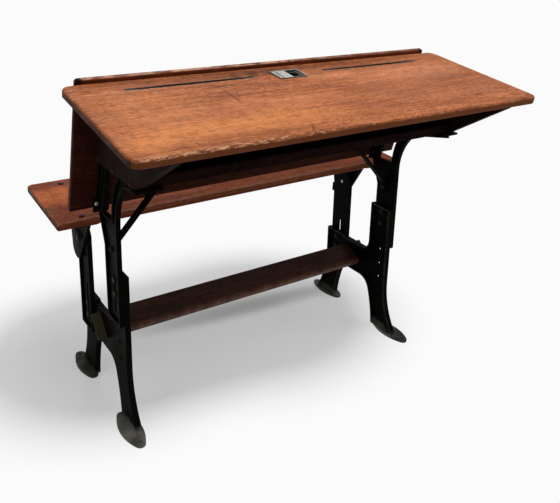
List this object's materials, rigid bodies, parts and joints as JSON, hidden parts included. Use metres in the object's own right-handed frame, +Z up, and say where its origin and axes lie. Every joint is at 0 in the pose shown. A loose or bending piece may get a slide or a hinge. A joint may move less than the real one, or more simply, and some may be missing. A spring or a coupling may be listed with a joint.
{
  "type": "school desk with folding bench seat",
  "caption": "Two-pupil school desk: sloping oak top, open book box and bench seat on cast iron side frames that slide for height.",
  "frame": {"origin": "on the floor, under the middle of the bounding box", "axes": "+Z up, +X along the desk to the writer's right, -Y towards the writer, +Y towards the bench seat"},
  "size_m": [1.016, 0.7083, 0.8326],
  "materials": {
    "desktop_wood": "worn varnish",
    "backboard_wood": "dark varnish",
    "box_wood": "dark stain",
    "seat_wood": "worn varnish",
    "footrest_wood": "worn dark varnish",
    "iron": "black enamel, worn",
    "steel": "dull",
    "nickel": "worn nickel plate",
    "glass": "clear"
  },
  "bodies": {
    "side_castings": {"lower_casting_left": "iron", "lower_casting_right": "iron", "footrest": "footrest_wood", "clamp_bolts": "steel", "clamp_nuts": "steel"},
    "desk": {"desktop": "desktop_wood", "backboard": "backboard_wood", "backboard_strip": "backboard_wood", "box_end_left": "box_wood", "box_end_right": "box_wood", "box_shelf": "box_wood", "box_lip": "box_wood", "upper_standard_left": "iron", "upper_standard_right": "iron", "brace_left": "iron", "brace_right": "iron", "inkwell_plate": "nickel", "inkwell_cup": "glass"},
    "cover": {"inkwell_cover": "nickel"},
    "seat_posts": {"seat_post_left": "iron", "seat_post_right": "iron", "pivot_pins": "steel"},
    "seat": {"seat_board": "seat_wood", "seat_bracket_left": "iron", "seat_bracket_right": "iron"}
  },
  "joints": [
    {"name": "desk_height", "type": "slide", "parent": "side_castings", "child": "desk", "axis": [0, 0, 1], "range_m": [-0.01, 0.045]},
    {"name": "seat_height", "type": "slide", "parent": "side_castings", "child": "seat_posts", "axis": [0, 0, 1], "range_m": [-0.05, 0.01]},
    {"name": "seat_fold", "type": "hinge", "parent": "seat_posts", "child": "seat", "pos_m": [0, 0.223, 0.395], "axis": [1, 0, 0], "range_deg": [0, 80]},
    {"name": "inkwell_cover_slide", "type": "slide", "parent": "desk", "child": "cover", "axis": [1, 0, 0], "range_m": [0, 0.03]}
  ]
}
